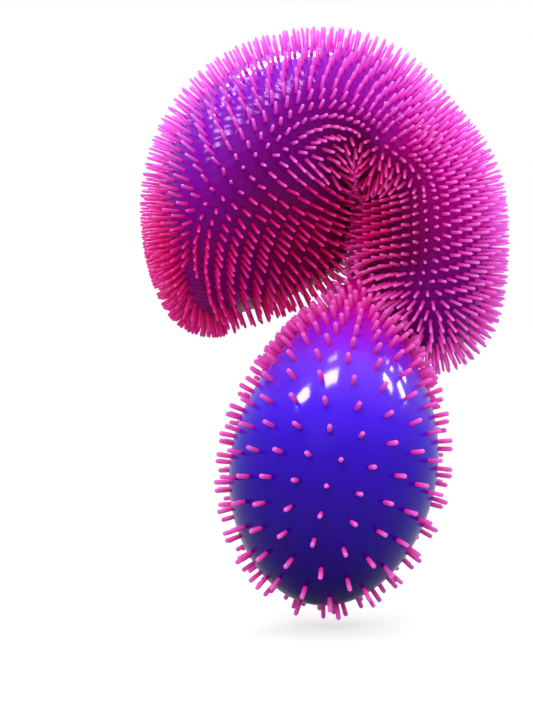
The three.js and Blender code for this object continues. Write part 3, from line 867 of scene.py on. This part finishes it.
def make_rubber_mottle():
    group = bpy.data.node_groups.new("rubber mottle", "ShaderNodeTree")
    for side, numbers in MOTTLE_NUMBERS.items():
        group.interface.new_socket("Colour", in_out=side, socket_type="NodeSocketColor")
        for name in numbers:
            group.interface.new_socket(name, in_out=side, socket_type="NodeSocketFloat")
    nodes = Nodes(group)
    given = nodes.add("NodeGroupInput").outputs
    place = nodes.add("ShaderNodeTexCoord").outputs["Object"]
    patch_scale = nodes.math("DIVIDE", 1.0, given["Patch size"])
    grain_scale = nodes.math("MULTIPLY", patch_scale, GRAINS_PER_PATCH)
    patches, grain = (
        nodes.result("ShaderNodeTexNoise", {"Vector": place, "Scale": scale, "Detail": detail})
        for scale, detail in ((patch_scale, PATCH_DETAIL), (grain_scale, GRAIN_DETAIL))
    )
    centred = nodes.math("SUBTRACT", patches, MIDDLE_GREY)
    shade = nodes.math("ADD", nodes.math("MULTIPLY", centred, given["Depth"]), 1.0)
    shaded = {0: given["Colour"], "Scale": shade}
    colour = nodes.result("ShaderNodeVectorMath", shaded, operation="SCALE")
    gloss = nodes.math("MULTIPLY", given["Roughness"], shade)
    nodes.add("NodeGroupOutput", {"Colour": colour, "Roughness": gloss, "Grain": grain})
    return group


rubber_mottle = make_rubber_mottle()
print("mottle group:", len(rubber_mottle.nodes), "nodes")

# %% [markdown]
# Every finish starts from a Principled shader and takes its colour and gloss through the mottle. The
# same few links could be written out for each. Here helpers make them, given the size and depth of the
# patches and the distance and strength of the bump.

# %% Material helpers


def start_material(name):
    material = bpy.data.materials.new(name)
    material.use_nodes = True
    nodes = Nodes(material.node_tree)
    shader = material.node_tree.nodes["Principled BSDF"]
    return material, nodes, shader


def add_mottle(nodes, colour, roughness, patches):
    patch_size, depth = patches
    inputs = {"Colour": colour, "Roughness": roughness, "Patch size": patch_size, "Depth": depth}
    return nodes.add("ShaderNodeGroup", inputs, node_tree=rubber_mottle).outputs


def connect(nodes, shader, mottle, height, bump):
    distance, strength = bump
    relief = nodes.result("ShaderNodeBump", {"Height": height, "Distance": distance, "Strength": strength})
    nodes.tree.links.new(mottle["Colour"], shader.inputs["Base Color"])
    nodes.tree.links.new(mottle["Roughness"], shader.inputs["Roughness"])
    nodes.tree.links.new(relief, shader.inputs["Normal"])


def set_values(shader, values):
    for name, value in values.items():
        shader.inputs[name].default_value = value


print("material helpers ready")

# %% [markdown]
# The skin takes its colour from the attribute. The folded skin is satin, and the stretched skin of
# the bubble shines like a balloon. Real rubber mirrors white light untinted. Here a violet specular
# tint stands in for the light that comes back from inside the coloured rubber, and keeps the skin from
# looking grey where it faces the viewer. On the folded body the skin is drawn in a little round every
# spike, so a bump follows the spikes' own pattern, which a UV map carries: rows one way and columns the
# other.

# %% Skin material
FOLDED_FINISH = {"Specular IOR Level": 0.17, "Specular Tint": (1.0, 0.45, 1.0, 1.0)}
STRETCHED_FINISH = {
    "Specular IOR Level": 0.28,
    "Specular Tint": (0.85, 0.6, 1.0, 1.0),
    "Coat Weight": 0.06,
    "Coat Roughness": 0.05,
}
FOLDED_ROUGHNESS, STRETCHED_ROUGHNESS = 0.2, 0.1
SKIN_IOR = 1.45
SKIN_PATCHES = (0.012, 0.2)
SKIN_BUMP = (0.0001, 0.8)
GRAIN_SHARE, DIMPLE_SHARE = 0.1, -0.5


def make_skin(dimpled):
    material, nodes, shader = start_material("dimpled_rubber_skin" if dimpled else "stretched_rubber_skin")
    colour = nodes.add("ShaderNodeAttribute", attribute_name="skin_colour_and_painted_light").outputs["Color"]
    roughness = FOLDED_ROUGHNESS if dimpled else STRETCHED_ROUGHNESS
    mottle = add_mottle(nodes, colour, roughness, SKIN_PATCHES)
    height = nodes.math("MULTIPLY", mottle["Grain"], GRAIN_SHARE)
    if dimpled:
        lattice = nodes.result("ShaderNodeUVMap", uv_map="spike_lattice")
        axes = nodes.add("ShaderNodeSeparateXYZ", {0: lattice}).outputs
        half_row = nodes.math("MULTIPLY", axes["X"], 0.5)
        waves = []
        for operation in ("ADD", "SUBTRACT"):
            phase = nodes.math(operation, axes["Y"], half_row)
            waves.append(nodes.math("COSINE", nodes.math("MULTIPLY", phase, 2 * math.pi)))
        dimple = nodes.math("MULTIPLY", nodes.math("ADD", *waves), DIMPLE_SHARE)
        height = nodes.math("ADD", height, dimple)
    connect(nodes, shader, mottle, height, SKIN_BUMP)
    shader.inputs["IOR"].default_value = SKIN_IOR
    set_values(shader, FOLDED_FINISH if dimpled else STRETCHED_FINISH)
    return material


dimpled_skin = make_skin(True)
stretched_skin = make_skin(False)
folded_skin.data.materials.append(dimpled_skin)
for piece in skins.values():
    piece.data.materials.append(stretched_skin)


def add_lattice_map(piece, bearings):
    """UV of the spike pattern on the outer rings: rows across, columns along."""
    columns = columns_to(bearings)
    layer = piece.data.uv_layers.new(name="spike_lattice")
    outer_count = len(bearings) * SECTION_SIDES
    values = np.zeros((len(piece.data.loops), 2), np.float32)
    for face in piece.data.polygons:
        corners = [piece.data.loops[i].vertex_index for i in face.loop_indices]
        if max(corners) >= outer_count:
            continue
        sides = [corner % SECTION_SIDES for corner in corners]
        wraps = max(sides) - min(sides) > 1
        for loop, corner, side in zip(face.loop_indices, corners, sides):
            turn = side + SECTION_SIDES if wraps and side == 0 else side
            values[loop] = (turn * SPIKE_ROWS / SECTION_SIDES, columns[corner // SECTION_SIDES])
    layer.data.foreach_set("uv", values.ravel())


add_lattice_map(folded_skin, fold_bearings)
print("skin materials:", dimpled_skin.name, stretched_skin.name)

# %% [markdown]
# The spikes are solid pink rubber. Their colour is painted lighter at the tip, as the light that comes
# through where they are thin, and darker at the root, as the shade among them. In the crease and on
# the leg they are painted a deeper pink as shade, and they take some of that deeper pink down the cheek
# and on the neck and bubble, so each root carries a number for the mix. Subsurface scattering gives
# them the softness of clear rubber, and a faint painted glow, an emission at the tips, stands in for
# the light that clear rubber pipes to its ends.

# %% Spike material and spikes
# Root and tip colour of each pair. The first pair is the plain pink. The second is painted shade in the
# crease and on the leg, and some of it is mixed in down the cheek and on the neck and bubble.
COOL_SPIKE = ((255, 40, 208), (255, 140, 250))
DEEP_PINK_AND_SHADED_SPIKE = ((226, 0, 104), (255, 44, 164))
BLACK = (0.0, 0.0, 0.0, 1.0)
# A painted glow: a faint pink emission on the spikes, strongest at the tips and off where shade is
# painted.
GLOW, GLOW_STRENGTH = linear(255, 120, 250), 0.2
# Where the ramp runs along a spike: darker at the root as painted shade, lighter at the tip as painted
# light.
RAMP_ENDS = (0.1, 0.95)
SPIKE_ROUGHNESS = 0.34
SPIKE_PATCHES = (0.006, 0.15)
SPIKE_BUMP = (0.00003, 0.3)
SPIKE_FINISH_AND_GLOW = {
    "Emission Strength": GLOW_STRENGTH,
    "Specular IOR Level": 0.25,
    "Subsurface Weight": 0.5,
    "Subsurface Radius": (1.0, 0.3, 0.7),
    "Subsurface Scale": 0.0012,
}
CREASE_SHADE_SPREAD = 15.0
LEG_SHADE_BEARINGS = (158.0, 200.0)
CHEEK_WARMTH, NECK_WARMTH = 0.45, 0.55


# Painted shade near the fold line and on the leg, and some deeper pink down the cheek.
def fold_deep_pink_and_shade(points):
    bearing, distance = fold_place(np.asarray(points))
    leg = smooth_step(bearing, *LEG_SHADE_BEARINGS)
    cheek = CHEEK_WARMTH * smooth_step(-bearing, 0, -CHEEK_END)
    return np.clip(swell(distance, 0.0, CREASE_SHADE_SPREAD) + leg + cheek, 0, 1)


def make_spike_rubber():
    material, nodes, shader = start_material("spike_rubber")
    along = nodes.add("ShaderNodeAttribute", attribute_name="along").outputs["Fac"]
    deep_pink_and_shade = nodes.add("ShaderNodeAttribute", attribute_name="deep_pink_and_shade").outputs["Fac"]
    pinks = []
    for root_colour, tip_colour in (COOL_SPIKE, DEEP_PINK_AND_SHADED_SPIKE):
        ramp = nodes.add("ShaderNodeValToRGB", {"Fac": along})
        low, high = ramp.color_ramp.elements
        low.position, high.position = RAMP_ENDS
        low.color, high.color = linear(*root_colour), linear(*tip_colour)
        pinks.append(ramp.outputs[0])
    mottle = add_mottle(nodes, nodes.mix(deep_pink_and_shade, *pinks), SPIKE_ROUGHNESS, SPIKE_PATCHES)
    connect(nodes, shader, mottle, mottle["Grain"], SPIKE_BUMP)
    # The painted glow grows towards the tip and fades out where shade is painted.
    glow_share = nodes.math("MULTIPLY", along, nodes.math("SUBTRACT", 1.0, deep_pink_and_shade))
    nodes.tree.links.new(nodes.mix(glow_share, BLACK, GLOW), shader.inputs["Emission Color"])
    set_values(shader, SPIKE_FINISH_AND_GLOW)
    return material


spike_rubber = make_spike_rubber()


def input_identifier(tree, name):
    return next(item.identifier for item in tree.interface.items_tree if item.name == name)


def grow_spikes(name, roots, deep_pink_and_shade, tip_radius):
    points, aims, room = roots
    carrier = add_object(f"{name}_roots", points, [])
    store(carrier, "aim", "FLOAT_VECTOR", "vector", aims)
    store(carrier, "room", "FLOAT", "value", room)
    store(carrier, "deep_pink_and_shade", "FLOAT", "value", deep_pink_and_shade)
    modifier = carrier.modifiers.new("spikes", "NODES")
    modifier.node_group = spike_tree
    modifier[input_identifier(spike_tree, "Rubber")] = spike_rubber
    modifier[input_identifier(spike_tree, "Tip radius")] = tip_radius * MM
    bpy.context.view_layer.update()
    evaluated = carrier.evaluated_get(bpy.context.evaluated_depsgraph_get())
    mesh = bpy.data.meshes.new_from_object(evaluated)
    carrier.modifiers.remove(modifier)
    bpy.data.objects.remove(carrier)
    spikes = bpy.data.objects.new(name, mesh)
    scene.collection.objects.link(spikes)
    return spikes


deep_pink_and_shade = fold_deep_pink_and_shade(fold_roots[0])
spikes = {"folded": grow_spikes("folded_spikes", fold_roots, deep_pink_and_shade, SPIKE_TIP_RADIUS)}
for stretch, roots in neck_roots.items():
    if roots[0]:
        deep_pink_and_shade = np.full(len(roots[0]), NECK_WARMTH)
        spikes[stretch] = grow_spikes(f"{stretch}_spikes", roots, deep_pink_and_shade, STOUT_TIP_RADIUS)
for piece in spikes.values():
    print(piece.name, len(piece.data.polygons), "faces")

# %% [markdown]
# The gel is never seen unless the skin is opened, but it is what gives the ball its weight and its
# blue. It is a clear, wet-looking blue solid just below the skin.

# %% Gel material
GEL_COLOUR = (40, 56, 205)
GEL_ROUGHNESS = 0.12
GEL_PATCHES = (0.02, 0.4)
GEL_BUMP = (0.0001, 0.3)
GEL_FINISH = {"Subsurface Weight": 0.4, "Subsurface Scale": 0.004}


def make_gel():
    material, nodes, shader = start_material("blue_gel")
    mottle = add_mottle(nodes, linear(*GEL_COLOUR), GEL_ROUGHNESS, GEL_PATCHES)
    connect(nodes, shader, mottle, mottle["Grain"], GEL_BUMP)
    set_values(shader, GEL_FINISH)
    return material


gel = make_gel()
for piece in (folded_filling, *fillings.values()):
    piece.data.materials.append(gel)
print("gel on", 1 + len(fillings), "fillings")

# %% [markdown]
# At the back of the crown a plug closes the hole through which the ball is filled, on a bead of
# glue. Both are round, so each is a profile turned about the plug's axis. A round bead has an uneven
# edge, and the plug's head a shallow dish and a soft rim.

# %% Fill plug and glue
PLUG_SHANK_RADIUS, PLUG_SHANK_LENGTH = 3.0, 4.5
PLUG_HEAD_RADIUS, PLUG_HEAD_HEIGHT = 5.0, 1.2
PLUG_HEAD_BASE = 1.5
# Radius and depth of the rings of the head's dish.
PLUG_DISH = ((3.6, 0.0), (2.6, 0.28), (1.2, 0.35))
HEAD_ROUNDING = 0.5
GLUE_BASE, GLUE_THICKNESS, GLUE_RADIUS, GLUE_HOLE = 0.35, 0.8, 5.8, 3.35
GLUE_UNEVEN = 0.35
# Waves round the edge of the glue: count, phase and height.
GLUE_WAVES = ((3, 0.7, 1.0), (7, 0.0, 0.6))
GLUE_WAVE_TOTAL = sum(height for count, phase, height in GLUE_WAVES)
PLUG_SIDES = 64
ROUNDING_STEPS = 6


def turned_piece(name, profile, uneven=0.0, closed=False):
    """A profile of (radius, height) turned about the plug's axis, which points to the back."""
    turns = np.arange(PLUG_SIDES) * 2 * np.pi / PLUG_SIDES
    waves = sum(height * np.sin(count * turns + phase) for count, phase, height in GLUE_WAVES)
    rings = []
    for radius, height in profile:
        outside = uneven * smooth_step(radius, GLUE_HOLE, GLUE_RADIUS)
        spread = radius + outside * waves / GLUE_WAVE_TOTAL
        level = np.full(PLUG_SIDES, height)
        rings.append(np.stack([spread * np.cos(turns), level, spread * np.sin(turns)], -1))
    rings = np.array(rings) + plug_place
    if closed:
        points, faces = Surface(rings).points_and_faces(0)
        last = (len(rings) - 1) * PLUG_SIDES
        for side in range(PLUG_SIDES):
            after = (side + 1) % PLUG_SIDES
            faces.append((last + side, last + after, after, side))
        return add_object(name, points, faces)
    return add_solid(name, Surface(rings))


def quarter(centre_radius, centre_height, size, start):
    """Points of a quarter round from a start angle, turning back towards the axis."""
    turns = np.radians(start + 90 * np.arange(ROUNDING_STEPS + 1) / ROUNDING_STEPS)
    return [
        (centre_radius + size * math.cos(turn), centre_height + size * math.sin(turn)) for turn in turns
    ]


head_top = PLUG_HEAD_BASE + PLUG_HEAD_HEIGHT
head_edge = PLUG_HEAD_RADIUS - HEAD_ROUNDING
plug_profile = [(PLUG_SHANK_RADIUS, -PLUG_SHANK_LENGTH), (PLUG_SHANK_RADIUS, PLUG_HEAD_BASE)]
plug_profile += quarter(head_edge, PLUG_HEAD_BASE + HEAD_ROUNDING, HEAD_ROUNDING, -90)
plug_profile += quarter(head_edge, head_top - HEAD_ROUNDING, HEAD_ROUNDING, 0)
plug_profile += [(radius, head_top - depth) for radius, depth in PLUG_DISH]
fill_plug = turned_piece("fill_plug_rounded", plug_profile)
bead = GLUE_THICKNESS / 2
glue_profile = [(GLUE_HOLE, GLUE_BASE)]
glue_profile += quarter(GLUE_RADIUS - bead, GLUE_BASE + bead, bead, -90)
glue_profile += quarter(GLUE_RADIUS - bead, GLUE_BASE + bead, bead, 0)[1:]
glue_profile += [(GLUE_HOLE, GLUE_BASE + GLUE_THICKNESS)]
plug_glue = turned_piece("plug_glue_bead", glue_profile, uneven=GLUE_UNEVEN, closed=True)
print("plug and glue:", len(fill_plug.data.polygons), len(plug_glue.data.polygons), "faces")

# %% [markdown]
# The plug is taken to be pink rubber with a duller finish, and the glue a pale bead with a wet shine.
# Glass could stand for the glue. Scattering makes it a little milky, which suits dried glue.

# %% Plug and glue materials
PLUG_COLOUR, PLUG_ROUGHNESS, PLUG_SCATTER = (216, 56, 184), 0.4, 0.15
GLUE_COLOUR, GLUE_ROUGHNESS, GLUE_SCATTER = (226, 196, 226), 0.15, 0.5
PLUG_PATCHES = (0.004, 0.25)
PLUG_BUMP = (0.00005, 0.4)
SCATTER_SCALE = 0.002


def make_plain(name, colour, roughness, scatter):
    material, nodes, shader = start_material(name)
    mottle = add_mottle(nodes, linear(*colour), roughness, PLUG_PATCHES)
    connect(nodes, shader, mottle, mottle["Grain"], PLUG_BUMP)
    set_values(shader, {"Subsurface Weight": scatter, "Subsurface Scale": SCATTER_SCALE})
    return material


plug_rubber = make_plain("plug_rubber", PLUG_COLOUR, PLUG_ROUGHNESS, PLUG_SCATTER)
clear_glue = make_plain("clear_glue", GLUE_COLOUR, GLUE_ROUGHNESS, GLUE_SCATTER)
fill_plug.data.materials.append(plug_rubber)
plug_glue.data.materials.append(clear_glue)
print("plug and glue finished")

# %% [markdown]
# Every soft piece spans a joint: the folded skin goes over from cheek to crown across the fold, and
# the tube's stretches go from body to body along the spine. Each piece, with its spikes and gel, has
# its placement baked into its points, and the plug and its glue are attached to the crown's body.

# %% Bodies
FOLD_BLEND = ((1.0, 0.0, FOLD_Z), (-14.0, 0.0, FOLD_Z))
# The bodies on either side of a joint, and where along the spine one gives way to the other.
NECK_BLENDS = {
    "near_neck": ("cheek", "near_neck", 2.0, 11.0),
    "far_neck": ("near_neck", "far_neck", 15.5, 17.5),
    "bubble": ("far_neck", "bubble", 22.0, 46.0),
}


def metres(point):
    return tuple(float(value) * MM for value in point)


for piece in (folded_skin, folded_filling, spikes["folded"]):
    metres(FOLD_BLEND[0])
    metres(FOLD_BLEND[1])
    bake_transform(piece)
for stretch, (before, after, start, end) in NECK_BLENDS.items():
    ends = [metres(along_spine(np.array(distance), spine_points)) for distance in (start, end)]
    for piece in (skins[stretch], fillings[stretch], spikes.get(stretch)):
        if piece is not None:
            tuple(ends[0])
            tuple(ends[1])
            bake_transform(piece)
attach(fill_plug, "crown")
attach(plug_glue, "crown")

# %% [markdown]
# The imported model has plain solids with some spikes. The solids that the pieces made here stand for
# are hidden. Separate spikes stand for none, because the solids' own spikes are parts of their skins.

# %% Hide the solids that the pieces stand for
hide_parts("crown_skin", "cheek_skin")
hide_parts("crown_filling", "cheek_filling")
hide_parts("fill_plug")
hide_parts("plug_glue_ring")
for stretch in skins:
    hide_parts(f"{stretch}_skin")
    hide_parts(f"{stretch}_filling")

# %% [markdown]
# The studio has a pale floor just below the lowest spikes. It keeps the shadow and fades out into the
# white background, so that no edge of it is seen.

# %% Floor
FLOOR_GAP = 0.0006
FLOOR_SIZE = 1.6
FLOOR_COLOUR = (0.45, 0.45, 0.45, 1.0)
FLOOR_LIFT = 0.6
FLOOR_ROUGHNESS = 0.9
WHITE = (1.0, 1.0, 1.0, 1.0)
FADE_START, FADE_END = 0.1, 0.45

floor_height = min(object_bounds()[0][2], cad_box[0][2]) - FLOOR_GAP
half = FLOOR_SIZE / 2
floor_corners = np.array([(-half, -half, 0), (half, -half, 0), (half, half, 0), (-half, half, 0)])
floor = add_object("floor", (floor_corners + (0, 0, floor_height)) / MM, [(0, 1, 2, 3)])
floor_material, floor_nodes, floor_shader = start_material("pale_floor")
floor_shader.inputs["Base Color"].default_value = FLOOR_COLOUR
floor_shader.inputs["Roughness"].default_value = FLOOR_ROUGHNESS
floor_shader.inputs["Emission Color"].default_value = WHITE
seen = floor_nodes.add("ShaderNodeLightPath").outputs["Is Camera Ray"]
lift = floor_nodes.math("MULTIPLY", seen, FLOOR_LIFT)
floor_nodes.tree.links.new(lift, floor_shader.inputs["Emission Strength"])
floor_place = floor_nodes.add("ShaderNodeTexCoord").outputs["Object"]
radial = floor_nodes.add("ShaderNodeVectorMath", {0: floor_place}, operation="LENGTH").outputs["Value"]
fade_range = {"Value": radial, "From Min": FADE_START, "From Max": FADE_END, "To Min": 1.0, "To Max": 0.0}
fade = floor_nodes.result("ShaderNodeMapRange", fade_range, interpolation_type="SMOOTHSTEP")
floor_nodes.tree.links.new(fade, floor_shader.inputs["Alpha"])
floor.data.materials.append(floor_material)
floor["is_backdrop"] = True
print(f"floor at {floor_height * 1000:.1f} mm")

# %% [markdown]
# An even white world lights the ball from all round, and there are two kinds of lamps. Large soft lamps
# light the colours and are kept out of reflections. Small window panes are seen only in reflections:
# they are the white glints on the bubble and the crown.

# %% World and lamps
WORLD_LIGHT = 0.6
LAMP_TARGET = Vector((-0.015, -0.012, 0.005))
SOFT_DISTANCE, PANE_DISTANCE = 0.9, 0.75
PANE_BRIGHTNESS = 55.0
SOFT_LAMPS = {
    "soft_front": ((-0.25, -0.80, 0.55), (0.5, 0.4), 0.5),
    "soft_top": ((0.0, 0.1, 1.0), (0.6, 0.5), 0.4),
    "soft_back": ((0.1, 0.8, 0.5), (0.5, 0.4), 0.35),
}
WINDOW_PANES = {
    "middle_low": ((-0.16, -0.31, 0.94), (0.18, 0.12)),
    "middle_high": ((-0.15, -0.06, 0.98), (0.11, 0.06)),
    "left_low": ((-0.56, -0.26, 0.8), (0.15, 0.12)),
    "left_high": ((-0.519, 0.34, 0.784), (0.10, 0.055)),
    "right_low": ((0.728, -0.05, 0.684), (0.13, 0.07)),
    "right_far_low": ((0.836, 0.14, 0.51), (0.12, 0.07)),
    "right_high": ((0.684, 0.174, 0.709), (0.10, 0.04)),
    "right_far_high": ((0.762, 0.365, 0.535), (0.11, 0.04)),
    "back_high": ((-0.16, 0.62, 0.77), (0.30, 0.12)),
}

world = bpy.data.worlds.new("white studio")
scene.world = world
world.use_nodes = True
world_nodes = Nodes(world.node_tree)
background = world.node_tree.nodes["Background"]
background.inputs["Color"].default_value = WHITE
seen = world_nodes.add("ShaderNodeLightPath").outputs["Is Camera Ray"]
strength = world_nodes.math("ADD", world_nodes.math("MULTIPLY", seen, 1 - WORLD_LIGHT), WORLD_LIGHT)
world.node_tree.links.new(strength, background.inputs["Strength"])


def add_lamp(name, direction, size, distance, power):
    lamp_data = bpy.data.lights.new(name, "AREA")
    lamp_data.shape = "RECTANGLE"
    lamp_data.size, lamp_data.size_y = size
    lamp_data.energy = power
    lamp = bpy.data.objects.new(name, lamp_data)
    away = Vector(direction).normalized()
    across = (Vector((1, 0, 0)) - away * away.x).normalized()
    axes = Matrix((across, away.cross(across), away)).transposed()
    lamp.matrix_world = Matrix.Translation(LAMP_TARGET + away * distance) @ axes.to_4x4()
    lamp.visible_camera = False
    scene.collection.objects.link(lamp)
    return lamp


for name, (direction, size, level) in SOFT_LAMPS.items():
    lamp = add_lamp(name, direction, size, SOFT_DISTANCE, level * (math.pi * SOFT_DISTANCE) ** 2)
    lamp.visible_glossy = False
for name, (direction, size) in WINDOW_PANES.items():
    power = PANE_BRIGHTNESS * math.pi * size[0] * size[1]
    lamp = add_lamp(name, direction, size, PANE_DISTANCE, power)
    lamp.visible_diffuse = False
print(len(SOFT_LAMPS), "soft lamps and", len(WINDOW_PANES), "window panes")

# %% [markdown]
# Last, the box of the imported model and the box of the dressed one are put side by side, so that a
# piece that has grown or moved would show up as a difference, and the dressed one's box is printed.

# %% Sizes
visual_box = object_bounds()
boxes = {"cad": cad_box, "visual": visual_box}
{name: [[float(v) for v in corner] for corner in box] for name, box in boxes.items()}
print("visual box", [[round(float(v) * 1000, 1) for v in corner] for corner in visual_box])
